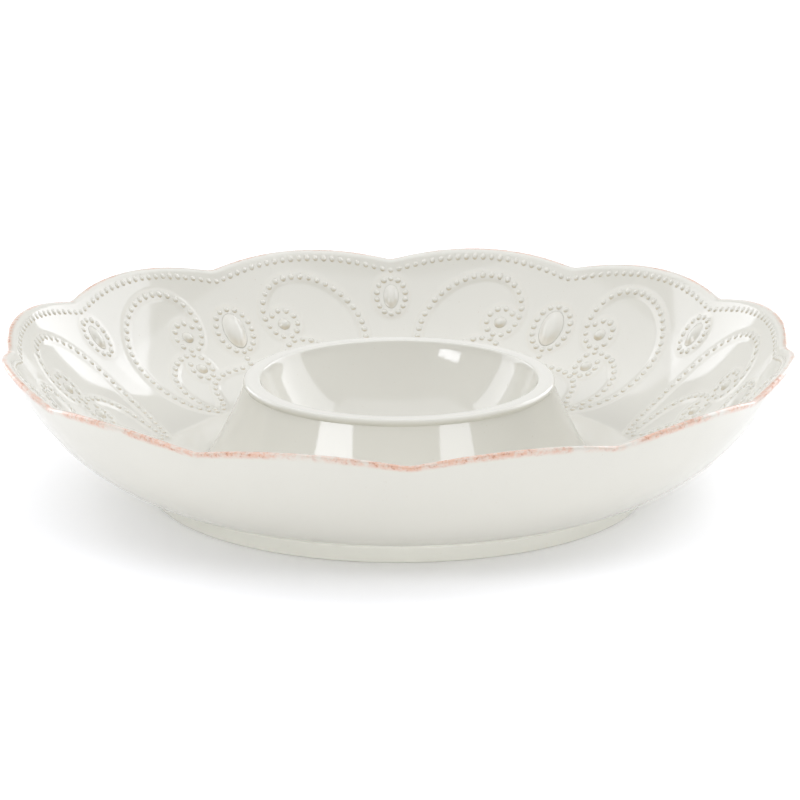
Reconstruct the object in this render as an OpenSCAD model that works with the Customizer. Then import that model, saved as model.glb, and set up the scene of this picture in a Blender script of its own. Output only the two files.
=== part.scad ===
// Chip and dip server: a wide bowl with a scalloped rim and a raised dip well in the middle.
// Glazed stoneware, made of members that are formed apart and luted together, with applied relief.
// Frame: Z up, origin at the centre of the foot's resting face, millimetres.
// One notch between rim lobes faces -Y, the front.

/* [Bowl wall] */
// Height of the rim at the notches between lobes
notch_h = 62; // [50:0.5:80]
// How far each lobe bulges outward past the notches
lobe_out = 3.2; // [0:0.1:10]
// How far each lobe rises above the notches
lobe_up = 5; // [0:0.1:8]
// Depth below the rim at which the lobes have faded away
lobe_fade = 40; // [20:1:60]
// Number of rim lobes, an even number
lobes = 12; // [10:2:14]
// Radius of the curve that the outside of the wall follows
wall_curve_r = 98.7; // [80:0.1:120]
// Distance of that curve's centre from the bowl's axis
wall_centre_r = 83.5; // [70:0.1:95]
// Height of that curve's centre
wall_centre_h = 102.6; // [90:0.1:120]
// Wall and floor thickness
wall_t = 5.5; // [4:0.1:8]
// Wall thickness at the rim
rim_t = 3.5; // [3:0.1:5]

/* [Foot ring] */
// Outer radius of the face it rests on
foot_r = 109.7; // [90:0.1:115]
// Width of the face it rests on
foot_w = 6.5; // [3:0.1:10]
// Outer radius just below the groove
foot_top_r = 113.6; // [100:0.1:116]
// Height of the groove's lower edge
foot_groove_h = 8.2; // [6:0.1:9]
// Height of the bowl's underside
base_h = 7; // [4:0.5:9]

/* [Dip well] */
// Height of the lip
well_h = 50.4; // [40:0.1:60]
// Outer radius of the lip
lip_r = 68.8; // [60:0.1:80]
// Inner radius at the lip's underside, where the cup starts
lip_in_r = 60.6; // [50:0.1:70]
// Thickness of the lip's rounded outer edge
lip_t = 3; // [2:0.1:6]
// Radius of the lip's inner edge
lip_in_round = 1.2; // [0.5:0.1:2]
// Outer radius of the skirt just below the lip
skirt_top_r = 68.2; // [58:0.1:78]
// Outer radius of the skirt where it meets the bowl floor
skirt_foot_r = 86; // [75:0.5:95]
// Lean of the skirt from upright just below the lip, in degrees
skirt_lean = 22; // [5:0.5:25]
// Lean of the cup's side from upright just below the lip, in degrees
cup_lean = 18; // [5:0.5:28]
// Height at which the cup's side turns into its round bottom
cup_turn_h = 28; // [22:0.5:36]
// Lean of the cup's side at that height, in degrees
cup_turn_lean = 34.5; // [30:0.5:50]

/* [Relief] */
// Base radius of a bead
bead_r = 1.4; // [1:0.05:2]
// Height of a bead
bead_h = 0.85; // [0.6:0.05:1.6]
// Spacing of the beads along a string
bead_pitch = 4.2; // [3.4:0.1:5]
// Beads on each rim lobe
rim_beads_per_lobe = 22; // [16:1:24]
// Base radius of the pearl inside each curl
pearl_r = 2.8; // [2:0.1:4]
// Height of the pearl
pearl_h = 1.6; // [1:0.1:3]
// Half height of the large oval's ring of beads
large_half_h = 12; // [9:0.1:14]
// Half width of the large oval's ring of beads
large_half_w = 9; // [6:0.1:10]
// Half height of the small oval's ring of beads
small_half_h = 9.4; // [7:0.1:12]
// Half width of the small oval's ring of beads
small_half_w = 6.9; // [5:0.1:9]
// Depth of the large ovals below the rim notches
large_depth = 31.8; // [25:0.1:36]
// Depth of the small ovals below the rim notches
small_depth = 18.7; // [14:0.1:24]

// Beads round a large oval
large_beads = 16; // [12:1:20]
// Beads round a small oval
small_beads = 14; // [10:1:18]
// Beads that drop from an arch
drop_beads = 3; // [0:1:4]
// Depth of the first of them
drop_depth = 47.9; // [46:0.1:52]
// Spacing of the beads in the drop
drop_pitch = 3.6; // [3.2:0.1:4.4]
// Depth of the rim beads at the middle of a lobe
rim_beads_depth = 2.4; // [2:0.1:5]
// How much deeper they are at the notches
rim_beads_sag = 2.5; // [0:0.1:4]

/* [Show] */
// Node to draw

/* [Hidden] */
deg = 180 / PI;
step = 360 / lobes;
inner_r = wall_curve_r - wall_t;
floor_h = base_h + wall_t;
outer_top = acos((wall_centre_h - notch_h) / wall_curve_r);
inner_top = acos((wall_centre_h - notch_h) / (wall_curve_r - rim_t));
outer_foot = acos((wall_centre_h - base_h) / wall_curve_r);
inner_foot = acos((wall_centre_h - floor_h) / inner_r);
outer_len = (outer_top - outer_foot) / deg * wall_curve_r;
inner_len = (inner_top - inner_foot) / deg * inner_r;
lip_base_h = well_h - lip_t;
skirt_reach = skirt_foot_r - skirt_top_r;
skirt_drop = lip_base_h - floor_h;
skirt_low_lean = 2 * atan2(skirt_reach, skirt_drop) - skirt_lean;
skirt_curve_r = skirt_reach / (cos(skirt_lean) - cos(skirt_low_lean));
skirt_centre = [skirt_top_r + skirt_curve_r * cos(skirt_lean), lip_base_h + skirt_curve_r * sin(skirt_lean)];
cup_floor_h = floor_h + 0.5;
cup_side_r = (lip_base_h - cup_turn_h) / (sin(cup_turn_lean) - sin(cup_lean));
cup_side_centre = [lip_in_r - cup_side_r * cos(cup_lean), lip_base_h + cup_side_r * sin(cup_lean)];
cup_curve_r = (cup_turn_h - cup_floor_h) / (1 - sin(cup_turn_lean));
cup_centre_h = cup_floor_h + cup_curve_r;
cup_floor_r = cup_side_centre[0] + (cup_side_r - cup_curve_r) * cos(cup_turn_lean);

// Where the rounded rim edge takes over from the wall, and how deep a bead stands in it
cap_drop = 1.5;
sink = 0.02;
// Corners of the bowl's mesh round the axis and down the wall, and facets of round parts
around = 144;
down = 16;
round_facets = 256;
edge_facets = 64;
cream = [0.9, 0.89, 0.85];
relief_cream = [0.92, 0.91, 0.87];

// Foot ring: chamfer of its resting face, slope of its inside, reach into the wall, and the groove
foot_edge = 0.8;
foot_edge_h = 0.9;
foot_slope = 2.5;
foot_reach = 3;
groove_deep = 0.7;
groove_steps = [0.5, 1, 1.6];

// Ovals: half sizes and rise of their bosses, and how far the ring's beads are evened out
large_boss = [8.4, 4.8, 2.3];
small_boss = [5.2, 3, 1.8];
ring_even = 28;

// Steps along a chain of arcs, and its radius where its chart is true to size
steps = 160;
chart_r = 160;
// Arch beads closer to the large oval's axis than this would touch their mirror image
arch_gap = 0.8;

// Strings of beads are chains of arcs, [length, turn], in a chart of the wall:
// x runs round the wall from a lobe's middle, measured at chart_r, and y up the slope.
scroll_start = [9, -78.2, 24];
scroll_arcs = [[25, 47], [20.6, 23], [26, 46], [28, 48], [20, 72], [14, 52], [34, 275]];
curl_start = [8, -76.2, 54];
curl_arcs = [[15, 27], [11, 41], [24, 56], [16, 110], [22, 200]];
arch_start = [2, -77.4, 150];
arch_arcs = [[12, -42], [14, 45], [14, 22], [18, 5]];

// The lobes' shape round the rim: 0 at a notch, 1 at the middle of a lobe.
function lobe(t) = 1 - pow((t / step - floor(t / step)) * 2 - 1, 2);

// What is left at a depth below the rim: 1 at the rim, 0 from lobe_fade down.
function fade(m) = pow(max(0, 1 - m / lobe_fade), 2);

// Point at radius r and height z, carried outward and upward by the lobe it is on.
function turned_out(t, r, z, m) =
    let (k = lobe(t) * fade(m), q = r + lobe_out * k)
    [q * cos(t), q * sin(t), z + lobe_up * k];

// Point on the inside of the wall, at azimuth t and depth m below the rim.
// Deeper than the wall it runs on along the floor.
function inside(t, m) =
    let (
        c = inner_r + (wall_t - rim_t) * fade(m * 1.3),
        a = inner_top - min(m, inner_len) / inner_r * deg
    )
    turned_out(
        t,
        wall_centre_r + c * sin(a) - max(0, m - inner_len),
        wall_centre_h - c * cos(a),
        m
    );

// Point on the outside of the wall.
function outside(t, m) =
    let (a = outer_top - m / wall_curve_r * deg)
    turned_out(t, wall_centre_r + wall_curve_r * sin(a), wall_centre_h - wall_curve_r * cos(a), m);

// Unit normal of the inside of the wall, pointing into the bowl.
function facing(t, m) =
    let (
        u = inside(t + 0.2, m) - inside(t - 0.2, m),
        v = inside(t, m + 0.3) - inside(t, m - 0.3),
        n = cross(v, u)
    )
    -n / norm(n);

// Evenly spread depths, closer together near the rim.
function depth(i, whole) = cap_drop + (whole - cap_drop) * pow(i / (down - 1), 1.2);

// Heading gained along a chain of arcs after the distance q.
function heading(arcs, q, i = 0) =
    i == len(arcs) ? 0 : arcs[i][1] * min(1, max(0, q / arcs[i][0])) + heading(arcs, q - arcs[i][0], i + 1);
function total(arcs, i = 0) = i == len(arcs) ? 0 : arcs[i][0] + total(arcs, i + 1);

// Radius of the wall at a depth, without lobes.
function wall_r(m) = let (p = inside(0, m)) norm([p[0], p[1]]);

// Points of a chain: [length along the wall, chart x, chart y].
function track(start, arcs) =
    let (s = total(arcs) / steps)
    [
        for (
            i = 0, l = 0, x = start[0], y = start[1], h = start[2];
            i <= steps;
            h = start[2] + heading(arcs, (i + 0.5) * s),
            l = l + s * norm([cos(h) * wall_r(-y) / chart_r, sin(h)]),
            x = x + s * cos(h),
            y = y + s * sin(h),
            i = i + 1
        )
        [l, x, y]
    ];

// Evenly spaced beads on a chain, as [azimuth from the nearest large oval, depth].
function string(start, arcs) =
    let (
        p = track(start, arcs),
        whole = p[steps][0],
        n = round(whole / bead_pitch),
        xs = [for (q = p) [q[0], q[1]]],
        ys = [for (q = p) [q[0], q[2]]]
    )
    [for (i = [0:n]) [step / 2 + lookup(i * whole / n, xs) / chart_r * deg, -lookup(i * whole / n, ys)]];

// Centre of the last arc of a chain, where the curl's pearl sits.
function eye(start, arcs) =
    let (
        p = track(start, arcs)[steps],
        h = start[2] + heading(arcs, total(arcs)),
        last = arcs[len(arcs) - 1],
        r = last[0] / last[1] * deg
    )
    [step / 2 + (p[1] - r * sin(h)) / chart_r * deg, -(p[2] + r * cos(h))];

// Large ovals stand at even notches and small ones at odd notches; every second lobe is mirrored.
function from_large(k, d) = k % 2 == 0 ? k * step + d : (k + 1) * step - d;

function two(k) = k < 10 ? str("0", k) : str(k);

scroll_pts = string(scroll_start, scroll_arcs);
curl_pts = string(curl_start, curl_arcs);
arch_pts = string(arch_start, arch_arcs);
scroll_eye = eye(scroll_start, scroll_arcs);
curl_eye = eye(curl_start, curl_arcs);

module place(t, m) {
    n = facing(t, m);
    translate(inside(t, m))
        rotate([0, acos(n[2]), atan2(n[1], n[0])])
            children();
}

// Spherical cap standing on the wall.
module dome(r, h) {
    ball = (r * r + h * h) / (2 * h);
    rotate_extrude($fn = 36)
        intersection() {
            translate([0, h - ball])
                circle(ball, $fn = 144);
            translate([0, -sink])
                square([r + 1, h + 1]);
        }
}

module bead(t, m) {
    place(t, m)
        dome(bead_r, bead_h);
}

// Smooth oval boss, taller along the slope than it is wide.
module boss(a, b, h) {
    n = 20;
    rows = 5;
    pts = concat(
        [for (i = [0:rows - 1]) for (j = [0:n - 1])
            let (e = i * 90 / rows)
            [a * cos(e) * cos(j * 360 / n), b * cos(e) * sin(j * 360 / n), h * sin(e) - sink]],
        [[0, 0, h - sink], [0, 0, -sink]]
    );
    sides = [for (i = [0:rows - 2]) for (j = [0:n - 1]) for (k = [0, 1])
        let (p = i * n + j, q = i * n + (j + 1) % n)
        k == 0 ? [p, p + n, q + n] : [p, q + n, q]];
    top = [for (j = [0:n - 1]) [(rows - 1) * n + j, rows * n, (rows - 1) * n + (j + 1) % n]];
    bottom = [for (j = [0:n - 1]) [j, (j + 1) % n, rows * n + 1]];
    polyhedron(pts, concat(sides, top, bottom), convexity = 2);
}

// Oval medallion: a boss in a ring of beads.
module oval(t, m, half_h, half_w, count, middle) {
    place(t, m)
        boss(middle[0], middle[1], middle[2]);
    for (i = [0:count - 1]) {
        a = i * 360 / count;
        g = a + (half_h - half_w) / (half_h + half_w) * sin(2 * a) * ring_even;
        bead(t + half_w * sin(g) / wall_r(m) * deg, m + half_h * cos(g));
    }
}

// Closed skin through rings of points, one ring per step round the axis.
module skin(rings) {
    n = len(rings[0]);
    pts = [for (r = rings) for (p = r) p];
    faces = [for (i = [0:around - 1]) for (j = [0:n - 1]) for (k = [0, 1])
        let (
            i2 = (i + 1) % around,
            j2 = (j + 1) % n,
            a = i * n + j,
            b = i * n + j2,
            c = i2 * n + j2,
            d = i2 * n + j
        )
        k == 0 ? [a, b, c] : [a, c, d]];
    polyhedron(pts, faces, convexity = 6);
}

module chip_bowl() {
    color(cream)
        skin([for (i = [0:around - 1])
            let (t = i * 360 / around)
            concat(
                [for (j = [0:down - 1]) inside(t, depth(j, inner_len))],
                [
                    [skirt_foot_r * cos(t), skirt_foot_r * sin(t), floor_h],
                    [skirt_foot_r * cos(t), skirt_foot_r * sin(t), base_h]
                ],
                [for (j = [down - 1:-1:0]) outside(t, depth(j, outer_len))]
            )]);
}

// Rounded edge that follows the lobes.
module rim_edge() {
    turns = 6;
    color([0.85, 0.68, 0.58])
        skin([for (i = [0:around - 1])
            let (
                t = i * 360 / around,
                a = outside(t, cap_drop),
                b = inside(t, cap_drop),
                mid = (a + b) / 2,
                half = (a - b) / 2,
                rise = [0, 0, notch_h + lobe_up * lobe(t) - mid[2]]
            )
            [for (j = [0:turns]) mid + half * cos(j * 180 / turns) + rise * sin(j * 180 / turns)]]);
}

module foot_ring() {
    color([0.87, 0.85, 0.79])
        rotate_extrude($fn = round_facets)
            difference() {
                polygon([
                    [foot_r - foot_w, 0],
                    [foot_r - foot_edge, 0],
                    [foot_r, foot_edge_h],
                    [foot_top_r, foot_groove_h],
                    [foot_top_r - groove_deep, foot_groove_h + groove_steps[0]],
                    [foot_top_r - groove_deep, foot_groove_h + groove_steps[1]],
                    [foot_top_r + foot_reach, foot_groove_h + groove_steps[2]],
                    [foot_r - foot_w - foot_slope, foot_groove_h + groove_steps[2]],
                    [foot_r - foot_w - foot_slope, base_h],
                    [foot_r - foot_w, foot_edge_h]
                ]);
                translate([wall_centre_r, wall_centre_h])
                    circle(wall_curve_r, $fn = round_facets);
                translate([0, base_h])
                    square([wall_centre_r + wall_curve_r * sin(outer_foot), foot_groove_h]);
            }
}

// Flared ring that carries the lip.
module well_skirt() {
    color(cream)
        rotate_extrude($fn = round_facets)
            difference() {
                intersection() {
                    translate([cup_floor_r, base_h])
                        square([skirt_foot_r - cup_floor_r, lip_base_h - base_h]);
                    translate(skirt_centre)
                        circle(skirt_curve_r + wall_t, $fn = round_facets);
                }
                translate(skirt_centre)
                    circle(skirt_curve_r, $fn = round_facets);
                cup_section(wall_t);
            }
}

// Half section of the cup's hollow, grown by a thickness; it runs on past the lip.
module cup_section(grow) {
    turn_h = cup_turn_h - grow * sin(cup_turn_lean);
    intersection() {
        translate([cup_floor_r, turn_h])
            square([lip_r, well_h - turn_h]);
        translate(cup_side_centre)
            circle(cup_side_r + grow, $fn = round_facets);
    }
    intersection() {
        translate([cup_floor_r, 0])
            square([lip_r, turn_h]);
        translate([cup_floor_r, cup_centre_h])
            circle(cup_curve_r + grow, $fn = round_facets);
    }
}

// Round-bottomed cup for the dip.
module well_cup() {
    color(cream)
        rotate_extrude($fn = round_facets) {
            difference() {
                intersection() {
                    cup_section(wall_t);
                    translate([cup_floor_r, 0])
                        square([lip_r, lip_base_h]);
                }
                cup_section(0);
            }
            translate([0, cup_floor_h - wall_t])
                square([cup_floor_r + sink, wall_t]);
        }
}

// Flat lip with a fully rounded outer edge and a softly rounded inner one.
module well_lip() {
    nose = lip_t / 2;
    edge_h = well_h - lip_in_round;
    edge_r = lip_in_r + (lip_in_round + (edge_h - lip_base_h) * sin(cup_lean)) / cos(cup_lean);
    color(cream)
        rotate_extrude($fn = round_facets) {
            translate([lip_r - nose, lip_base_h + nose])
                circle(nose, $fn = edge_facets);
            translate([edge_r, edge_h])
                circle(lip_in_round, $fn = edge_facets);
            polygon([
                [lip_in_r, lip_base_h],
                [lip_r - nose, lip_base_h],
                [lip_r - nose, well_h],
                [edge_r, well_h],
                [edge_r - lip_in_round * cos(cup_lean), edge_h + lip_in_round * sin(cup_lean)]
            ]);
        }
}

// String of beads under the rim, one lobe long.
module rim_beads(k) {
    color(relief_cream)
        for (i = [0:rim_beads_per_lobe - 1]) {
            t = k * step + i * step / rim_beads_per_lobe;
            bead(t, rim_beads_depth + rim_beads_sag * (1 - lobe(t)));
        }
}

// C-scroll of beads that fills one lobe and curls round a pearl.
module scroll(k) {
    color(relief_cream)
        for (p = scroll_pts)
            bead(from_large(k, p[0]), p[1]);
}

// Smaller scroll below it.
module curl(k) {
    color(relief_cream)
        for (p = curl_pts)
            bead(from_large(k, p[0]), p[1]);
}

module small_oval(k) {
    color(relief_cream)
        oval((2 * k + 1) * step, small_depth, small_half_h, small_half_w, small_beads, small_boss);
}

module large_oval(k) {
    color(relief_cream)
        oval(2 * k * step, large_depth, large_half_h, large_half_w, large_beads, large_boss);
}

// Pearls in the curls of both kinds of scroll.
module pearls() {
    color(relief_cream)
        for (k = [0:lobes - 1]) {
            place(from_large(k, scroll_eye[0]), scroll_eye[1])
                dome(pearl_r, pearl_h);
            place(from_large(k, curl_eye[0]), curl_eye[1])
                dome(pearl_r, pearl_h);
        }
}

// Low arches under the large ovals, each with a drop of beads.
module arches() {
    color(relief_cream)
        for (k = [0:2:lobes - 1]) {
            for (p = arch_pts)
                for (side = [-1, 1])
                    if (p[0] > arch_gap)
                        bead(k * step + side * p[0], p[1]);
            for (i = [0:drop_beads - 1])
                bead(k * step, drop_depth + i * drop_pitch);
        }
}

each_lobe = [for (k = [0:lobes - 1]) k];
each_pair = [for (k = [0:lobes / 2 - 1]) k];

chip_bowl();
foot_ring();
well_skirt();
well_cup();
well_lip();
rim_edge();
pearls();
arches();
for (k = each_lobe) {
    rim_beads(k);
    scroll(k);
    curl(k);
}
for (k = each_pair) {
    small_oval(k);
    large_oval(k);
}
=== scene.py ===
"""Looks of the chip and dip server: glazed stoneware, a rubbed terracotta rim and beaded relief.

Lengths are in millimetres until a mesh is made. t is an azimuth in degrees, m is the depth below the rim
along the inside or outside of the wall, and d is the azimuth measured from the nearest large oval.
"""
import math

import bpy
import numpy as np
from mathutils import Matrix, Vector


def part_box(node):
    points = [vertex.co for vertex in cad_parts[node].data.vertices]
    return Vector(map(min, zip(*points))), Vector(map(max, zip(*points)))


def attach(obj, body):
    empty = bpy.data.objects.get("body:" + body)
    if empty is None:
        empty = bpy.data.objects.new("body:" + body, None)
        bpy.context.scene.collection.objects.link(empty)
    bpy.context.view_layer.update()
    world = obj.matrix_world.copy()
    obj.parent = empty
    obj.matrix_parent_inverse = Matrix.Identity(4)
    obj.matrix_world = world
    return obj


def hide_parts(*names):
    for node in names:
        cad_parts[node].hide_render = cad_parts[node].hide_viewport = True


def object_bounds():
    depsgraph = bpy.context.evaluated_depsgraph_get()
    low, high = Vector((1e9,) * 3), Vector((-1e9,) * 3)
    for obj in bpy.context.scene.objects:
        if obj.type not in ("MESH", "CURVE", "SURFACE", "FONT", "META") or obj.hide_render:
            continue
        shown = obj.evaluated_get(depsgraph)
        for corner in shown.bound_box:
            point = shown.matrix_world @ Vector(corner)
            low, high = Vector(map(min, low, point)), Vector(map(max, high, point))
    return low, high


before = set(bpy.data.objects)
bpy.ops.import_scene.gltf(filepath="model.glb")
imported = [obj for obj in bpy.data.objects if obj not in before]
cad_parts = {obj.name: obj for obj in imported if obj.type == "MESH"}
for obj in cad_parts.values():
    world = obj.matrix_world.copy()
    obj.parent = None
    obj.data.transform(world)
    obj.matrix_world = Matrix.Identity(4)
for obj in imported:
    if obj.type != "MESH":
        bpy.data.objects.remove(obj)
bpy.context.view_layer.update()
MM = 0.001


def size_of(node):
    """Highest corner of a CAD node in millimetres: its outer radius along X and its top."""
    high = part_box(node)[1] / MM
    return high.x, high.z


# ---------------------------------------------------------------- sizes
LOBES = 12
STEP = 360 / LOBES
LOBE_OUT = 3.2
LOBE_UP = 5
LOBE_FADE = 40
NOTCH_SOFT = 0.05
NOTCH_H = size_of("rim_edge")[1] - LOBE_UP
WALL_CURVE_R = 98.7
WALL_CENTRE_R = 83.5
WALL_CENTRE_H = 102.6
WALL_T = 5.5
RIM_T = 3.5
THINNING = 1.3       # how much sooner the wall is at its full thickness than the lobes are gone
CREASE_SOFT = 0.9

FOOT_TOP_R = size_of("foot_ring")[0]
FOOT_R = FOOT_TOP_R - 3.9
FOOT_W = 6.5
FOOT_FLARE = 2.5     # how far the foot's inside leans in towards the base
FOOT_REACH = 6.5     # length of the wall's foot that the ring meets
FOOT_SINK = 0.02
GROOVE_H = 8.2
BASE_H = 7

LIP_R, WELL_H = size_of("well_lip")
LIP_IN_R = LIP_R - 8.2
LIP_T = 3
LIP_ROUND = 1.2
LIP_DISH = 0.14      # how far the lip's top is hollowed
NOSE_ARC = (-35, 80)
LIP_BASE_H = WELL_H - LIP_T
SKIRT_TOP_R = LIP_R - 0.6
SKIRT_LEAN = 22      # degrees from upright, just below the lip
SKIRT_FOOT_R = size_of("well_skirt")[0]
SKIRT_FILLET = 3.5
FILLET_SHARE = 0.04  # share of the skirt's curve that the fillet takes up
CUP_LEAN = 18
CUP_TURN_H = 28      # height where the cup's side turns into its round bottom
CUP_TURN_LEAN = 34.5
HUB_R = 0.4          # radius of the face that closes the cup at the axis

CAP = 1.4            # depth at which the rim starts to round over
CAP_RISE = 1.75
RIM_IN = 2.2         # where the rim piece ends inside and outside
RIM_OUT = 4.6

BEAD_R = 1.5         # out to the foot of the glaze fillet
BEAD_H = 0.7
BEAD_PITCH = 4.2
BEAD_VARIES = 0.05   # spread of the beads' sizes
RIM_BEADS = 22       # on each lobe
RIM_BEAD_SIZE = 0.92
RIM_BEADS_M = 2.4    # depth of the rim's string at the middle of a lobe
RIM_BEADS_SAG = 2.5  # and how much deeper it runs at a notch
PEARL_R = 3.1
PEARL_H = 1.6
BAND_H = 0.35        # raised bands and discs under the beads
BAND_FLAT = 1.7
BAND_EDGE = 3.4
DISC_EDGE = 2.4      # how far a disc reaches past its ring of beads
DISC_FLAT = 0.85     # share of the disc where its edge starts, and the edge's width
DISC_FALL = 0.25
SINK = 0.03          # depth of a bead's foot below the glaze
BOSS_FILLET = 1.18   # reach of a boss with its fillet, as a share of its own half size
BEAD_POOL_AND_SHADE = 0.95     # strength of the pooled glaze and the painted shade round beads
BOSS_POOL_AND_SHADE = 0.5      # and how much of it stays round bosses
BAND_POOL = 0.12

LARGE = dict(d=0, m=31.8, half_h=12, half_w=9, count=16, boss=(8.6, 4.9, 2.3))
SMALL = dict(d=STEP, m=18.7, half_h=9.4, half_w=6.9, count=14, boss=(5.6, 3.2, 1.8))
DROP = dict(m=47.9, pitch=3.6, count=3)
RING_EVEN = 0.49     # evens out the pitch of the beads round an oval
ARCH_GAP = 0.8       # the arches leave this free for the top bead of the drop

# Chains of arcs, (length, turn), from a start (x, y, heading) in a chart of the wall
CHART_R = 160
TRACK_STEPS = 240
SCROLL = ((9, -78.2, 24), ((25, 47), (20.6, 23), (26, 46), (28, 48), (20, 72), (14, 52), (34, 275)))
CURL = ((8, -76.2, 54), ((15, 27), (11, 41), (24, 56), (16, 110), (22, 200)))
ARCH = ((2, -77.4, 150), ((12, -42), (14, 45), (14, 22), (18, 5)))

# Slow waves left by the kiln: order round the axis, rise and its phase, spread and its phase
WAVES = ((2, 0.86, 28, 1.26, -138), (3, 0.48, -123, 0.92, -106))
WAVE_R = 105         # they start at this radius
WAVE_REACH = 70      # and are full this much further out
SPREAD_R = 170       # radius that the spread is stated for

AROUND = 1080        # mesh columns round the axis
PER_LOBE = AROUND // LOBES
SLOPE_T = 0.1        # steps to either side that the wall's slope is taken over
SLOPE_M = 0.15

INNER_R = WALL_CURVE_R - WALL_T
FLOOR_H = BASE_H + WALL_T
CUP_FLOOR_H = FLOOR_H + 0.5


def lean(degrees):
    """Sine and cosine of a lean from upright."""
    return math.sin(math.radians(degrees)), math.cos(math.radians(degrees))


CUP_SIN, CUP_COS = lean(CUP_LEAN)
TURN_SIN, TURN_COS = lean(CUP_TURN_LEAN)
CUP_SIDE_R = (LIP_BASE_H - CUP_TURN_H) / (TURN_SIN - CUP_SIN)
CUP_SIDE_CENTRE = (LIP_IN_R - CUP_SIDE_R * CUP_COS, LIP_BASE_H + CUP_SIDE_R * CUP_SIN)
CUP_CURVE_R = (CUP_TURN_H - CUP_FLOOR_H) / (1 - TURN_SIN)
CUP_CENTRE = (CUP_SIDE_CENTRE[0] + (CUP_SIDE_R - CUP_CURVE_R) * TURN_COS, CUP_FLOOR_H + CUP_CURVE_R)
OUTER_TOP = math.acos((WALL_CENTRE_H - NOTCH_H) / WALL_CURVE_R)
INNER_TOP = math.acos((WALL_CENTRE_H - NOTCH_H) / (WALL_CURVE_R - RIM_T))
INNER_LEN = (INNER_TOP - math.acos((WALL_CENTRE_H - FLOOR_H) / INNER_R)) * INNER_R
OUTER_LEN = (OUTER_TOP - math.acos((WALL_CENTRE_H - BASE_H) / WALL_CURVE_R)) * WALL_CURVE_R


# ---------------------------------------------------------------- the wall's surface
def smooth(x):
    """Soft step from 0 to 1."""
    x = np.clip(x, 0, 1)
    return x * x * (3 - 2 * x)


def lobe(t):
    """0 at a notch, 1 at the middle of a lobe, with the notch slightly softened by glaze."""
    v = 1 - np.abs(t / STEP % 1 * 2 - 1)
    v = np.sqrt(v * v + NOTCH_SOFT ** 2) - NOTCH_SOFT * (1 - v)
    return v * (2 - v)


def fade(m):
    """Share of the lobes' relief that is left at depth m."""
    return np.clip(1 - m / LOBE_FADE, 0, None) ** 2


def turned_out(t, r, z, m):
    """Point at azimuth t, radius r and height z, carried outward and upward by the lobe it is on."""
    k = lobe(t) * fade(np.clip(m, 0, None))
    r = r + LOBE_OUT * k
    a = np.radians(t)
    return np.stack(np.broadcast_arrays(r * np.cos(a), r * np.sin(a), z + LOBE_UP * k), -1)


def wall_in(t, m):
    """Inside of the wall; deeper than the wall it runs on along the floor, round a soft crease."""
    past = CREASE_SOFT * np.logaddexp(0, (m - INNER_LEN) / CREASE_SOFT)
    c = INNER_R + (WALL_T - RIM_T) * fade(THINNING * np.clip(m, 0, None))
    a = INNER_TOP - (m - past) / INNER_R
    return turned_out(t, WALL_CENTRE_R + c * np.sin(a) - past, WALL_CENTRE_H - c * np.cos(a), m)


def wall_out(t, m):
    """Outside of the wall."""
    a = OUTER_TOP - m / WALL_CURVE_R
    r = WALL_CENTRE_R + WALL_CURVE_R * np.sin(a)
    return turned_out(t, r, WALL_CENTRE_H - WALL_CURVE_R * np.cos(a), m)


def cap(t, angle):
    """Rounded rim: angle 0 is its inner side and pi its outer side."""
    a = wall_in(t, CAP)
    b = wall_out(t, CAP)
    up = (a - wall_in(t, CAP + 1) + b - wall_out(t, CAP + 1)) / 2
    c = np.cos(angle)[..., None]
    s = np.sin(angle)[..., None]
    return (a + b) / 2 + (a - b) / 2 * c + up * CAP_RISE * s


def inside(t, m):
    """Inside of the wall with the rounded rim above it."""
    t, m = np.broadcast_arrays(np.asarray(t, float), np.asarray(m, float))
    over = cap(t, np.clip((CAP - m) / CAP_RISE, 0, math.pi))
    return np.where((m < CAP)[..., None], over, wall_in(t, m))


def facing(t, m):
    """Unit normal of the inside, pointing into the bowl."""
    u = inside(t + SLOPE_T, m) - inside(t - SLOPE_T, m)
    v = inside(t, m + SLOPE_M) - inside(t, m - SLOPE_M)
    n = np.cross(u, v)
    return n / np.linalg.norm(n, axis=-1, keepdims=True)


def wall_r(m):
    """Radius of the wall's inside at a notch."""
    p = wall_in(0.0, m)
    return np.hypot(p[..., 0], p[..., 1])


# ---------------------------------------------------------------- strings of beads
def track(chain):
    """Points of a chain of arcs: length along the wall, chart x, chart y."""
    start, arcs = chain
    s = sum(a[0] for a in arcs) / TRACK_STEPS
    ends = np.concatenate([[0], np.cumsum([a[0] for a in arcs])])
    turns = np.concatenate([[0], np.cumsum([a[1] for a in arcs])])
    h = np.radians(start[2] + np.interp((np.arange(TRACK_STEPS) + 0.5) * s, ends, turns))
    x = start[0] + np.concatenate([[0], np.cumsum(np.cos(h) * s)])
    y = start[1] + np.concatenate([[0], np.cumsum(np.sin(h) * s)])
    shrink = wall_r(-(y[1:] + y[:-1]) / 2) / CHART_R
    along = np.concatenate([[0], np.cumsum(s * np.hypot(np.cos(h) * shrink, np.sin(h)))])
    return along, x, y


def on_wall(x, y):
    """Place (d, m) on the wall of a point of the chart."""
    return STEP / 2 + np.degrees(x / CHART_R), -y


def beads_on(chain):
    """Evenly spaced beads on a chain, as rows of (d, m)."""
    along, x, y = track(chain)
    at = np.linspace(0, along[-1], round(along[-1] / BEAD_PITCH) + 1)
    return np.stack(on_wall(np.interp(at, along, x), np.interp(at, along, y)), -1)


def eye(chain):
    """Centre of a chain's last arc, where its pearl sits, and the arc's radius."""
    _, x, y = track(chain)
    length, turn = chain[1][-1]
    r = length / math.radians(turn)
    h = math.radians(chain[0][2] + sum(a[1] for a in chain[1]))
    return on_wall(x[-1] - r * math.sin(h), y[-1] + r * math.cos(h)), r


SCROLL_EYE, SCROLL_EYE_R = eye(SCROLL)
CURL_EYE, CURL_EYE_R = eye(CURL)


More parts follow.
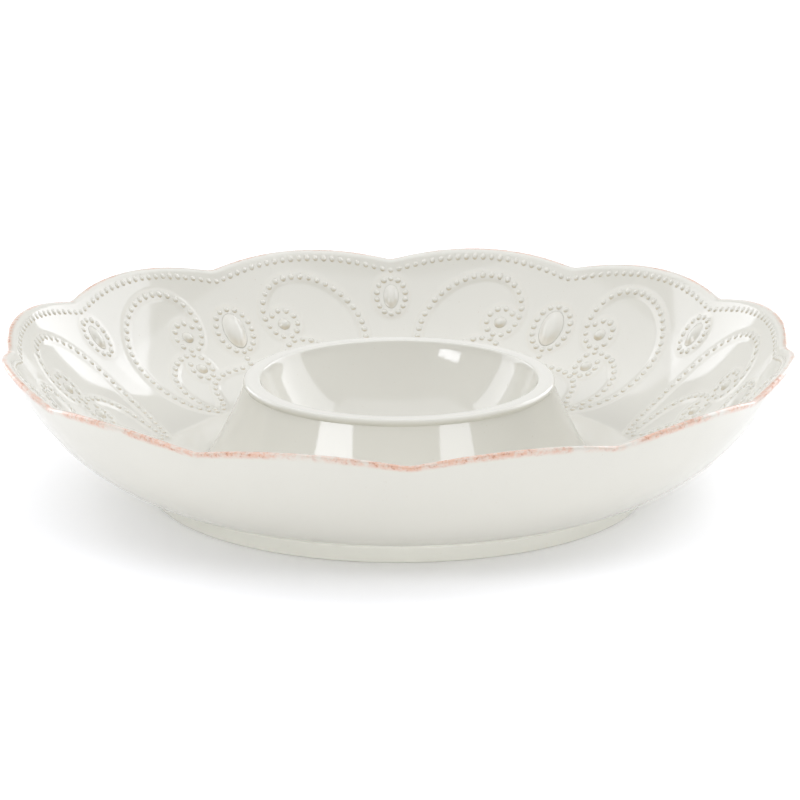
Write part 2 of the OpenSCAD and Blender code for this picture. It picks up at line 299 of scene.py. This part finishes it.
def ring_of(oval):
    """Beads round an oval, as rows of (d, m)."""
    a = np.arange(oval["count"]) * 2 * math.pi / oval["count"]
    h, w = oval["half_h"], oval["half_w"]
    g = a + (h - w) / (h + w) * np.sin(2 * a) * RING_EVEN
    d = oval["d"] + np.degrees(w * np.sin(g) / wall_r(oval["m"]))
    return np.stack([d, oval["m"] + h * np.cos(g)], -1)


# ---------------------------------------------------------------- raised bands under the beads
BANDS = [inside(*on_wall(*track(chain)[1:])) for chain in (SCROLL, CURL, ARCH)]
DISCS = (
    (LARGE["d"], LARGE["m"], LARGE["half_w"], LARGE["half_h"]),
    (SMALL["d"], SMALL["m"], SMALL["half_w"], SMALL["half_h"]),
    (*SCROLL_EYE, SCROLL_EYE_R, SCROLL_EYE_R),
    (*CURL_EYE, CURL_EYE_R, CURL_EYE_R),
)


def raised(d, m):
    """Share of the band height at a place: 1 on a band or disc, 0 off it."""
    d = STEP - np.abs(STEP - np.abs(d))
    p = inside(d, m).reshape(-1, 3)
    bare = np.ones(len(p))
    for points in BANDS:
        near = np.full(len(p), np.inf)
        for q in points[::2]:
            near = np.minimum(near, ((p - q) ** 2).sum(-1))
        bare *= smooth((np.sqrt(near) - BAND_FLAT) / (BAND_EDGE - BAND_FLAT))
    bare = bare.reshape(np.shape(d))
    for d0, m0, half_w, half_h in DISCS:
        x = np.radians(d - d0) * wall_r(np.asarray(m, float)) / (half_w + DISC_EDGE)
        y = (m - m0) / (half_h + DISC_EDGE)
        bare = bare * smooth((np.hypot(x, y) - DISC_FLAT) / DISC_FALL)
    return 1 - bare


# ---------------------------------------------------------------- meshes
def settled(p):
    """Points with the slow waves of the fired wall; the foot and the well stay true."""
    a = np.arctan2(p[:, 1], p[:, 0])
    w = smooth((np.hypot(p[:, 0], p[:, 1]) - WAVE_R) / WAVE_REACH)
    up = sum(rise * np.cos(n * a + math.radians(phase)) for n, rise, phase, _, _ in WAVES)
    out = sum(spread * np.cos(n * a + math.radians(phase)) for n, _, _, spread, phase in WAVES)
    grow = 1 + w * out / SPREAD_R
    return np.stack([p[:, 0] * grow, p[:, 1] * grow, p[:, 2] + w * up], 1)


def lobe_placed(p, k):
    """Points of lobe 0 carried to lobe k; every second lobe is mirrored."""
    a = math.radians((k + k % 2) * STEP)
    q = p * np.array([1, -1, 1]) if k % 2 else p
    c, s = math.cos(a), math.sin(a)
    return q @ np.array([[c, s, 0], [-s, c, 0], [0, 0, 1]])


def make_mesh(name, points, faces, material, values, sharp=None):
    """Mesh from points in millimetres. values are vertex attributes, sharp are rows with a hard edge."""
    mesh = bpy.data.meshes.new(name)
    mesh.from_pydata((settled(points) * MM).tolist(), [], faces)
    mesh.update()
    mesh.shade_smooth()
    for key, v in values.items():
        mesh.attributes.new(key, "FLOAT", "POINT").data.foreach_set("value", np.asarray(v, np.float32))
    if sharp is not None:
        ends = np.empty(len(mesh.edges) * 2, np.int64)
        mesh.edges.foreach_get("vertices", ends)
        row = ends.reshape(-1, 2) // AROUND
        hard = (row[:, 0] == row[:, 1]) & np.isin(row[:, 0], sharp)
        mesh.attributes.new("sharp_edge", "BOOLEAN", "EDGE").data.foreach_set("value", hard)
    mesh.materials.append(material)
    obj = bpy.data.objects.new(name, mesh)
    bpy.context.scene.collection.objects.link(obj)
    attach(obj, "root")
    return obj


def ring_faces(rows):
    """Quads between rows of AROUND points; the last row joins the first."""
    i = np.arange(rows)[:, None]
    j = np.arange(AROUND)[None, :]
    a = i * AROUND + j
    b = i * AROUND + (j + 1) % AROUND
    c = (i + 1) % rows * AROUND + (j + 1) % AROUND
    d = (i + 1) % rows * AROUND + j
    return np.stack([a, b, c, d], -1).reshape(-1, 4).tolist()


def around_all(row_of_lobe):
    """Rows of one lobe's columns d = 0 to STEP, mirrored and repeated round the whole ring."""
    there = row_of_lobe[:, :-1]
    back = row_of_lobe[:, :0:-1]
    return np.concatenate([there, back] * (LOBES // 2), 1)


def turned(profile):
    """Profile of (radius, height) points turned round the axis."""
    a = np.radians(np.arange(AROUND) * 360 / AROUND)
    r = np.array([p[0] for p in profile], float)[:, None]
    z = np.array([p[1] for p in profile], float)[:, None]
    return np.stack(np.broadcast_arrays(r * np.cos(a), r * np.sin(a), z), -1)


def turned_piece(name, profile, material, corners):
    """Closed solid of revolution; corners are the profile points with a hard edge."""
    p = turned(profile).reshape(-1, 3)
    return make_mesh(name, p, ring_faces(len(profile)), material, {"pool_and_shade": np.zeros(len(p))}, corners)


def arc(centre, radius, start, end, steps):
    """Points on a circle in the profile plane, angles in degrees."""
    a = np.radians(np.linspace(start, end, steps))
    return [(centre[0] + radius * math.cos(q), centre[1] + radius * math.sin(q)) for q in a]


# ---------------------------------------------------------------- materials
CREAM = (0.68, 0.665, 0.587)
# painted light: the foot's cream is the glaze's cream made evenly lighter
LIT_FOOT_CREAM = (0.72, 0.71, 0.625)
# tone of glaze pooled at the relief, also used as painted shade below the beads and bosses
POOLED_AND_SHADED = (0.61, 0.53, 0.38)
TERRACOTTA = (0.67, 0.395, 0.275)
BURNT = (0.44, 0.20, 0.125)


def node(tree, kind, inputs=None, **settings):
    """New shader node; an input is a value or the output that feeds it."""
    n = tree.nodes.new(kind)
    for k, v in settings.items():
        setattr(n, k, v)
    for k, v in (inputs or {}).items():
        if isinstance(v, bpy.types.NodeSocket):
            tree.links.new(v, n.inputs[k])
        else:
            n.inputs[k].default_value = v
    return n


def mixed(tree, factor, a, b):
    n = node(tree, "ShaderNodeMix", {0: factor, 6: a, 7: b}, data_type="RGBA")
    return n.outputs[2]


def noise(tree, place, scale, detail=3, roughness=0.5):
    n = node(tree, "ShaderNodeTexNoise", {"Vector": place, "Scale": scale, "Detail": detail,
                                          "Roughness": roughness})
    return n.outputs["Fac"]


def ramp(tree, value, low, high, to_low=0.0, to_high=1.0):
    """Soft ramp from to_low, where value is low, to to_high, where it is high."""
    n = node(tree, "ShaderNodeMapRange", {"Value": value, "From Min": low, "From Max": high,
                                          "To Min": to_low, "To Max": to_high})
    n.interpolation_type = "SMOOTHSTEP"
    return n.outputs["Result"]


def product(tree, a, b):
    return node(tree, "ShaderNodeMath", {0: a, 1: b}, operation="MULTIPLY").outputs[0]


def attribute(tree, name):
    return node(tree, "ShaderNodeAttribute", attribute_name=name).outputs["Fac"]


def rgba(colour, share=1):
    return (*[c * share for c in colour], 1)


def glaze(name, colour, roughness=0.07, wash=False):
    """Clear-surfaced cream glaze: cloudy tone, darker pools and painted shade at the relief, faint ripple and
    pinholes.
    """
    mat = bpy.data.materials.new(name)
    mat.use_nodes = True
    tree = mat.node_tree
    shader = tree.nodes["Principled BSDF"]
    place = node(tree, "ShaderNodeTexCoord").outputs["Object"]
    # cloudy tone, glaze pooled at the relief with shade painted below the beads, pinholes
    cloud = noise(tree, place, 16, 3)
    base = mixed(tree, ramp(tree, cloud, 0.3, 0.7), rgba(colour, 0.985), rgba(colour))
    pool_and_shade = product(tree, attribute(tree, "pool_and_shade"), ramp(tree, noise(tree, place, 240, 2), 0.25, 0.7, 0.55, 1))
    base = mixed(tree, pool_and_shade, base, rgba(POOLED_AND_SHADED))
    speck = ramp(tree, noise(tree, place, 900, 1), 0.75, 0.80, 0, 0.35)
    base = mixed(tree, speck, base, rgba(POOLED_AND_SHADED, 0.86))
    if wash:
        base = washed(tree, place, base)
    tree.links.new(base, shader.inputs["Base Color"])
    shader.inputs["Roughness"].default_value = roughness
    shader.inputs["IOR"].default_value = 1.5
    # slow ripple and orange peel
    ripple = node(tree, "ShaderNodeBump", {"Height": noise(tree, place, 28, 2), "Strength": 0.25,
                                           "Distance": 0.0006})
    peel = node(tree, "ShaderNodeBump", {"Height": noise(tree, place, 420, 2), "Strength": 0.08,
                                         "Distance": 0.0001, "Normal": ripple.outputs[0]})
    tree.links.new(peel.outputs[0], shader.inputs["Normal"])
    return mat


def washed(tree, place, base):
    """Terracotta colour rubbed on the rim: blotchy, streaked, with gaps."""
    amount = attribute(tree, "wash")
    blotch = ramp(tree, noise(tree, place, 55, 4, 0.6), 0.35, 0.56, 0.1, 1)
    streak = ramp(tree, noise(tree, place, 420, 3, 0.7), 0.35, 0.62, 0.4, 1)
    soft = product(tree, amount, product(tree, blotch, streak))
    base = mixed(tree, product(tree, soft, 0.92), base, rgba(TERRACOTTA))
    dark = ramp(tree, noise(tree, place, 560, 2, 0.6), 0.54, 0.66, 0, 0.65)
    return mixed(tree, product(tree, soft, dark), base, rgba(BURNT))


bowl_glaze = glaze("bowl_glaze", CREAM)
relief_glaze = glaze("relief_glaze", CREAM)
well_glaze = glaze("well_glaze", CREAM)
foot_glaze = glaze("foot_glaze", LIT_FOOT_CREAM, roughness=0.12)
rim_glaze = glaze("rim_glaze", CREAM, wash=True)


# ---------------------------------------------------------------- bowl, rim and foot
COLUMNS = np.linspace(0, STEP, PER_LOBE + 1)
ROW_PITCH = 0.75
PAST_CREASE = 4      # how far the wall's rows run on along the floor
CAP_ROWS = 17
WASH_START = 0.25    # where the wash starts inside the rim and the width over which it comes in
WASH_IN = 0.25
WASH_END = 1.45      # where it ends outside and the width over which it goes out
WASH_OUT = 0.6


def lobe_rows(surface, depths):
    """Rows of points of a surface over one lobe's columns."""
    t, m = np.meshgrid(COLUMNS, depths)
    return surface(t, m)


def mirrored_rows(p):
    """Rows of one lobe as rows round the whole ring."""
    out = [lobe_placed(p.reshape(-1, 3), k).reshape(p.shape) for k in range(LOBES)]
    out = [q[:, :-1] if k % 2 == 0 else q[:, :0:-1] for k, q in enumerate(out)]
    return np.concatenate(out, 1)


def make_bowl():
    """Wall and floor in one mesh, from the rim's inside round to its outside."""
    t, m = np.meshgrid(COLUMNS, np.arange(RIM_IN, INNER_LEN + PAST_CREASE, ROW_PITCH))
    share = raised(t, m)
    inner = inside(t, m) + facing(t, m) * (BAND_H * share)[..., None]
    # the glaze pools along the edges of the bands
    pool_and_shade = around_all(smooth((share - 0.05) / 0.3) * smooth((0.95 - share) / 0.3))
    inner = mirrored_rows(inner)
    floor_r = np.hypot(*inner[-1, 0, :2])
    in_r = SKIRT_FOOT_R + SKIRT_FILLET
    floor = turned([(r, FLOOR_H) for r in np.linspace(floor_r, in_r, 12)[1:]])
    under = turned([(r, BASE_H) for r in np.linspace(in_r, FOOT_R - FOOT_W - FOOT_FLARE, 6)])
    outer = mirrored_rows(lobe_rows(wall_out, np.linspace(OUTER_LEN, RIM_OUT, 60)))
    p = np.concatenate([inner, floor, under, outer])
    rows = len(p)
    values = np.zeros((rows, AROUND))
    values[:len(inner)] = pool_and_shade * BAND_POOL
    a = len(inner) + len(floor)
    corners = [0, a - 1, a, a + len(under) - 1, a + len(under), rows - 1]
    bowl = make_mesh("bowl", p.reshape(-1, 3), ring_faces(rows), bowl_glaze,
                     {"pool_and_shade": values.ravel()}, corners)
    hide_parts("chip_bowl")


def make_rim():
    """Rounded edge with its wash; where is 0 at the cap's inner side, 1 at its outer side, 2 at the end."""
    inner = lobe_rows(inside, np.linspace(RIM_IN, CAP, 4))
    round_cap = np.linspace(0, 1, CAP_ROWS)[1:-1]
    over = lobe_rows(cap, math.pi * round_cap)
    outer = lobe_rows(wall_out, np.linspace(CAP, RIM_OUT, 8))
    p = mirrored_rows(np.concatenate([inner, over, outer]))
    rows = len(p)
    where = np.concatenate([np.zeros(len(inner)), round_cap, np.linspace(1, 2, len(outer))])
    wash = smooth((where - WASH_START) / WASH_IN) * smooth((WASH_END - where) / WASH_OUT)
    values = {"pool_and_shade": np.zeros(rows * AROUND), "wash": np.repeat(wash, AROUND)}
    rim = make_mesh("rim", p.reshape(-1, 3), ring_faces(rows), rim_glaze, values, [0, rows - 1])
    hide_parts("rim_edge")


def make_foot():
    """Ring with rounded edges and a fine groove above it, up to the wall."""
    inner_r = FOOT_R - FOOT_W
    wall = wall_out(0.0, np.linspace(OUTER_LEN - FOOT_REACH, OUTER_LEN, 6))
    top = [(float(r), float(z) - FOOT_SINK) for r, z in wall[:, [0, 2]]]
    profile = [(inner_r - FOOT_FLARE, BASE_H), (inner_r - 1.6, 3.2)]
    profile += arc((inner_r + 0.8, 0.8), 0.8, 180, 270, 5)
    profile += arc((FOOT_R - 1.2, 1.2), 1.2, 270, 340, 6)
    profile += [(FOOT_R + 0.8, 2.6), (FOOT_R + 2.3, 5.4), (FOOT_TOP_R - 0.3, GROOVE_H - 0.7)]
    profile += [(FOOT_TOP_R, GROOVE_H - 0.1), (FOOT_TOP_R - 0.25, GROOVE_H + 0.4)]
    profile += [(FOOT_TOP_R - 0.6, GROOVE_H + 0.75), (FOOT_TOP_R - 0.2, GROOVE_H + 1.1)]
    profile += [(r, z) for r, z in top if z < GROOVE_H + 1.3]
    foot = turned_piece("foot", profile, foot_glaze, [0, len(profile) - 1])
    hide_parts("foot_ring")


# ---------------------------------------------------------------- dip well
def cup_r(z, grow):
    """Radius of the cup's side at a height, grown by a thickness."""
    side = z > CUP_TURN_H - grow * TURN_SIN
    centre, r = (CUP_SIDE_CENTRE, CUP_SIDE_R) if side else (CUP_CENTRE, CUP_CURVE_R)
    return centre[0] + math.sqrt(max((r + grow) ** 2 - (centre[1] - z) ** 2, 0))


def make_skirt():
    """Flared side of the well, swept into the bowl floor by a fillet; its back meets the cup."""
    reach = SKIRT_FOOT_R - SKIRT_TOP_R
    drop = LIP_BASE_H - FLOOR_H
    low = 2 * math.degrees(math.atan2(reach, drop)) - SKIRT_LEAN
    curve_r = reach / (lean(SKIRT_LEAN)[1] - lean(low)[1])
    leans = [lean(q) for q in np.linspace(SKIRT_LEAN, low - FILLET_SHARE * (low - SKIRT_LEAN), 40)]
    centre_r = SKIRT_TOP_R + curve_r * leans[0][1]
    centre_h = LIP_BASE_H + curve_r * leans[0][0]
    outside = [(centre_r - curve_r * c, centre_h - curve_r * s) for s, c in leans]
    drop_r, drop_h = outside[-1]
    bend = drop_r + (drop_h - FLOOR_H) * leans[-1][0] / leans[-1][1]
    end = SKIRT_FOOT_R + SKIRT_FILLET
    fillet = [((1 - u) ** 2 * drop_r + 2 * u * (1 - u) * bend + u * u * end,
               FLOOR_H + (1 - u) ** 2 * (drop_h - FLOOR_H)) for u in np.linspace(0, 1, 9)[1:]]
    back = [(r - WALL_T * c, z - WALL_T * s) for (r, z), (s, c) in zip(outside, leans)]
    back = [q for q in back if q[1] > BASE_H + 0.5 and q[0] > cup_r(q[1], WALL_T) + 0.2]
    back = [(back[-1][0] + 0.4, BASE_H)] + back[::-1]
    join = [(cup_r(z, WALL_T), z) for z in np.linspace(back[-1][1] + 0.5, LIP_BASE_H, 5)]
    outside += fillet
    profile = outside + [(end, BASE_H)] + back + join
    n = len(outside)
    skirt = turned_piece("well_side", profile, well_glaze, [0, n - 1, n, n + 1, len(profile) - 1])
    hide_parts("well_skirt")


def make_lip():
    """Flat lip with a rounded nose, chamfered below, and a softly rounded inner edge."""
    nose = LIP_T / 2
    edge_h = WELL_H - LIP_ROUND
    edge_r = LIP_IN_R + (LIP_ROUND + (edge_h - LIP_BASE_H) * CUP_SIN) / CUP_COS
    out = arc((LIP_R - nose, LIP_BASE_H + nose), nose, *NOSE_ARC, 16)
    inner = arc((edge_r, edge_h), LIP_ROUND, 95, 180 - CUP_LEAN, 8)
    (r0, z0), (r1, z1) = out[-1], inner[0]
    top = [(r0 + (r1 - r0) * u, z0 + (z1 - z0) * u - LIP_DISH * math.sin(math.pi * u))
           for u in np.linspace(0, 1, 10)[1:-1]]
    profile = [(LIP_IN_R, LIP_BASE_H), (SKIRT_TOP_R, LIP_BASE_H)] + out + top + inner
    lip = turned_piece("well_rim", profile, well_glaze, [0, 1])
    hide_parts("well_lip")


def make_cup():
    """Round-bottomed cup; a small flat face closes it at the axis, above and below."""
    inner = arc(CUP_SIDE_CENTRE, CUP_SIDE_R, -CUP_LEAN, -CUP_TURN_LEAN, 24)
    inner += arc(CUP_CENTRE, CUP_CURVE_R, -CUP_TURN_LEAN, -90, 32)[1:]
    floor = [(r, CUP_FLOOR_H) for r in (17, 11, 5, HUB_R)]
    under = [(r, CUP_FLOOR_H - WALL_T) for r in (HUB_R, 9, 18)]
    outer = arc(CUP_CENTRE, CUP_CURVE_R + WALL_T, -90, -CUP_TURN_LEAN, 24)
    heights = np.linspace(outer[-1][1], LIP_BASE_H, 14)[1:]
    outer += [(cup_r(z, WALL_T), z) for z in heights]
    profile = inner + floor + under + outer
    p = turned(profile).reshape(-1, 3)
    middle = len(inner) + len(floor) - 1
    faces = [f for f in ring_faces(len(profile)) if f[0] // AROUND != middle]
    faces.append([middle * AROUND + j for j in range(AROUND)])
    faces.append([(middle + 1) * AROUND + j for j in reversed(range(AROUND))])
    cup = make_mesh("well_bowl", p, faces, well_glaze, {"pool_and_shade": np.zeros(len(p))}, [0, len(profile) - 1])
    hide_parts("well_cup")


# ---------------------------------------------------------------- relief
def dome(u):
    """Height profile of a bead from its middle (0) to the foot of its glaze fillet (1)."""
    return (1 - u * u) ** 2 * (1 + 1.2 * u * u)


def patch(d, m, half_h, half_w, height, rings, spokes):
    """Raised patch on the wall of lobe 0: points, faces and a darker tone at its foot, pooled glaze all round
    and painted shade mostly below it.
    """
    u = np.concatenate([[0], np.repeat(np.arange(1, rings + 1) / rings, spokes)])
    a = np.concatenate([[0], np.tile(np.arange(spokes) * 2 * math.pi / spokes, rings)])
    dd = d + np.degrees(half_w * u * np.sin(a) / wall_r(m))
    mm = m + half_h * u * np.cos(a)
    lift = height * dome(u) + BAND_H * raised(dd, mm) - SINK * u
    p = inside(dd, mm) + facing(dd, mm) * lift[:, None]
    faces = [[0, 1 + j, 1 + (j + 1) % spokes] for j in range(spokes)]
    for i in range(rings - 1):
        for j in range(spokes):
            q = 1 + i * spokes
            k = (j + 1) % spokes
            faces.append([q + spokes + j, q + spokes + k, q + k, q + j])
    last = 1 + (rings - 1) * spokes
    faces.append([last + j for j in reversed(range(spokes))])
    # painted shade on the lower side of the patch, with a little pooled glaze all round its foot
    pool_and_shade = smooth((u - 0.45) / 0.25) * smooth((1.1 - u) / 0.25) * (0.12 + 0.88 * smooth(np.cos(a)))
    return p, faces, pool_and_shade


def joined(patches):
    """One mesh's worth of points, faces and pooling with painted shade from several patches."""
    points, faces, pool_and_shade, n = [], [], [], 0
    for p, f, v in patches:
        faces += [[n + i for i in face] for face in f]
        points.append(p)
        pool_and_shade.append(v)
        n += len(p)
    return np.concatenate(points), faces, np.concatenate(pool_and_shade)


def relief(name, parts, cad_nodes, lobes):
    """Piece of relief from patches of lobe 0, carried to the given lobes."""
    p, faces, pool_and_shade = joined(parts)
    points = np.concatenate([lobe_placed(p, k) for k in lobes])
    placed = [[i * len(p) + v for v in (f[::-1] if k % 2 else f)] for i, k in enumerate(lobes) for f in faces]
    piece = make_mesh(name, points, placed, relief_glaze,
                      {"pool_and_shade": np.tile(pool_and_shade, len(lobes)) * BEAD_POOL_AND_SHADE})
    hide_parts(*cad_nodes)


def bead(d, m, size=1):
    return patch(d, m, BEAD_R * size, BEAD_R * size, BEAD_H * size, rings=6, spokes=14)


def boss(oval):
    """Raised oval in the middle of a ring of beads."""
    half_h, half_w, height = oval["boss"]
    p, faces, pool_and_shade = patch(oval["d"], oval["m"], half_h * BOSS_FILLET, half_w * BOSS_FILLET, height,
                           rings=10, spokes=28)
    return p, faces, pool_and_shade * BOSS_POOL_AND_SHADE


def make_relief():
    rng = np.random.default_rng(7)
    vary = lambda: 1 + BEAD_VARIES * rng.standard_normal()
    scroll = [bead(d, m, vary()) for d, m in beads_on(SCROLL)]
    curl = [bead(d, m, vary()) for d, m in beads_on(CURL)]
    along = np.arange(RIM_BEADS) * STEP / RIM_BEADS
    strings = [[bead(d, RIM_BEADS_M + RIM_BEADS_SAG * (1 - float(lobe(d))), RIM_BEAD_SIZE * vary())
                for d in side] for side in (along, STEP - along)]
    large = [boss(LARGE)] + [bead(d, m, vary()) for d, m in ring_of(LARGE)]
    small = [boss(SMALL)] + [bead(d, m, vary()) for d, m in ring_of(SMALL)]
    for k in range(LOBES):
        relief(f"rim_string_{k:02d}", strings[k % 2], [f"rim_beads_{k:02d}"], [k])
        relief(f"beaded_scroll_{k:02d}", scroll, [f"scroll_{k:02d}"], [k])
        relief(f"beaded_curl_{k:02d}", curl, [f"curl_{k:02d}"], [k])
    for k in range(LOBES // 2):
        relief(f"small_medallion_{k:02d}", small, [f"small_oval_{k:02d}"], [2 * k])
        relief(f"large_medallion_{k:02d}", large, [f"large_oval_{k:02d}"], [2 * k])
    pearls = [patch(*at, PEARL_R, PEARL_R, PEARL_H, rings=8, spokes=20) for at in (SCROLL_EYE, CURL_EYE)]
    relief("curl_pearls", pearls, ["pearls"], range(LOBES))
    arch = [bead(d, m, vary()) for d, m in beads_on(ARCH) if d > ARCH_GAP]
    relief("low_arches", arch, ["arches"], range(LOBES))
    drop = [bead(0, DROP["m"] + i * DROP["pitch"]) for i in range(DROP["count"])]
    relief("arch_drops", drop, ["arches"], range(0, LOBES, 2))


# ---------------------------------------------------------------- studio
OBJECT_TURN = 1.4      # degrees that the object is turned from the camera's axis
CAMERA_RISE = 16.0
CAMERA_AWAY = 1.789
CAMERA_LENS = 182.2
AIM = (0.0004, 0.0, 0.0397)
FLOOR_HALF = 8
FAR = 1.6              # distance of the windows and fills, in metres
NEAR = 1.0             # of the walls' glow
NEARER = 0.95          # of their shine: lights in one plane would hide each other
LAMP_COLOUR = (0.97, 0.985, 1.07)
ROOM = 0.34            # brightness of the room, and what is added low behind the object
BACKDROP = 0.62


def toward(azimuth, elevation):
    """Unit vector; azimuth is 0 at the front and grows towards +X."""
    a = math.radians(azimuth)
    e = math.radians(elevation)
    return Vector((math.sin(a) * math.cos(e), -math.cos(a) * math.cos(e), math.sin(e)))


def make_camera():
    data = bpy.data.cameras.new("camera")
    data.lens = CAMERA_LENS
    data.sensor_width = 36
    data.clip_end = 50
    cam = bpy.data.objects.new("camera", data)
    back = toward(-OBJECT_TURN, CAMERA_RISE)
    cam.location = Vector(AIM) + back * CAMERA_AWAY
    cam.rotation_euler = back.to_track_quat("Z", "Y").to_euler()
    bpy.context.scene.collection.objects.link(cam)
    bpy.context.scene.camera = cam


def make_floor():
    mat = bpy.data.materials.new("white_sweep")
    mat.use_nodes = True
    tree = mat.node_tree
    shader = tree.nodes["Principled BSDF"]
    place = node(tree, "ShaderNodeTexCoord").outputs["Object"]
    tone = mixed(tree, noise(tree, place, 3, 2), (0.93, 0.93, 0.93, 1), (0.95, 0.95, 0.95, 1))
    tree.links.new(tone, shader.inputs["Base Color"])
    shader.inputs["Roughness"].default_value = 0.9
    shader.inputs["Specular IOR Level"].default_value = 0
    # painted light: the floor itself glows, faintly near the object and more strongly further out, which
    # leaves the floor round the object darker
    far = node(tree, "ShaderNodeVectorMath", {0: place}, operation="LENGTH").outputs["Value"]
    glow = ramp(tree, far, 0.25, 1.4, 0.1, 0.5)
    shader.inputs["Emission Color"].default_value = (1, 1, 1, 1)
    tree.links.new(glow, shader.inputs["Emission Strength"])
    mesh = bpy.data.meshes.new("floor")
    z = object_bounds()[0].z
    corners = [(x * FLOOR_HALF, y * FLOOR_HALF, z) for x, y in ((-1, -1), (1, -1), (1, 1), (-1, 1))]
    mesh.from_pydata(corners, [], [(0, 1, 2, 3)])
    mesh.materials.append(mat)
    floor = bpy.data.objects.new("floor", mesh)
    bpy.context.scene.collection.objects.link(floor)


def lamp(name, back, away, width, height, radiance, pieces=(), lit=False):
    """Rectangular light at a distance in the direction back, facing the object.

    It lights the named pieces alone if lit is set, and all but the named pieces if not.
    """
    data = bpy.data.lights.new(name, "AREA")
    data.shape = "RECTANGLE"
    data.size = width
    data.size_y = height
    data.energy = radiance * width * height * math.pi
    data.color = LAMP_COLOUR
    light = bpy.data.objects.new(name, data)
    light.location = back * away
    light.rotation_euler = back.to_track_quat("Z", "Y").to_euler()
    bpy.context.scene.collection.objects.link(light)
    if pieces:
        group = bpy.data.collections.new(name + "_pieces")
        light.light_linking.receiver_collection = group
        for piece in pieces:
            group.objects.link(bpy.data.objects[piece])
        for item in group.collection_objects:
            item.light_linking.link_state = "INCLUDE" if lit else "EXCLUDE"
    return light


def softbox(name, left, right, low, high, radiance, away, pieces=(), lit=False):
    """Light that fills azimuths left to right and elevations low to high."""
    e = (low + high) / 2
    width = 2 * away * math.cos(math.radians(e)) * math.tan(math.radians(right - left) / 2)
    height = 2 * away * math.tan(math.radians(high - low) / 2)
    return lamp(name, toward((left + right) / 2, e), away, width, height, radiance, pieces, lit)


def make_studio():
    """White room, brighter behind the object, with windows, light walls and soft fills."""
    world = bpy.data.worlds.new("studio")
    bpy.context.scene.world = world
    world.use_nodes = True
    tree = world.node_tree
    sky = tree.nodes["Background"]
    sky.inputs["Color"].default_value = (1, 1, 1, 1)
    way = node(tree, "ShaderNodeSeparateXYZ", {0: node(tree, "ShaderNodeTexCoord").outputs["Generated"]})
    behind = ramp(tree, way.outputs["Y"], 0.1, 0.6)
    low_down = ramp(tree, way.outputs["Z"], 0.32, 0.5, 1, 0)
    added = product(tree, product(tree, behind, low_down), BACKDROP)
    strength = node(tree, "ShaderNodeMath", {0: added, 1: ROOM}, operation="ADD")
    tree.links.new(strength.outputs[0], sky.inputs["Strength"])
    cup_and_lip = ["well_bowl", "well_rim"]
    cup_and_skirt = ["well_bowl", "well_side"]
    softbox("front_left_window", -62, -35, 23, 41, 6.3, FAR, cup_and_lip)
    softbox("front_right_window", 28, 53, 23, 41, 4.5, FAR, cup_and_lip)
    for name, left, right, high, glow, shine in (("right_wall", 91, 152, 43, 1.3, 2.7),
                                                 ("left_wall", -152, -99, 39, 1.15, 2.2)):
        glow_light = softbox(name + "_glow", left, right, 4, high, glow, NEAR, cup_and_skirt)
        glow_light.visible_glossy = False
        shine_light = softbox(name + "_shine", left, right, 4, high, shine, NEARER, cup_and_skirt)
        shine_light.visible_diffuse = False
    softbox("right_cup_light", 90, 138, 4, 50, 2.5, NEAR, ["well_bowl"], True)
    softbox("left_cup_light", -121, -100, 5, 42, 2.6, NEAR, ["well_bowl"], True)
    softbox("cup_glint", -57, -38, 21, 27, 9, FAR, ["well_bowl"], True)
    lamp("overhead", Vector((0, 0.22, 1)).normalized(), away=1.02, width=1.8, height=1.5, radiance=1.05)
    softbox("floor_light", 30, 90, 25, 60, 1.1, FAR, ["floor"], True)
    high_fill = softbox("high_fill", -50, 50, 45, 75, 0.5, FAR, ["well_bowl"])
    foot_fill = softbox("foot_fill", -55, 55, 2, 20, 3.0, FAR, ["foot"], True)
    well_fill = softbox("well_fill", -60, 60, 15, 55, 0.95, FAR, cup_and_lip, True)
    for fill in (high_fill, foot_fill, well_fill):
        fill.visible_glossy = False
    bpy.context.scene.view_settings.view_transform = "Standard"


make_bowl()
make_rim()
make_foot()
make_skirt()
make_lip()
make_cup()
make_relief()
make_camera()
make_floor()
make_studio()
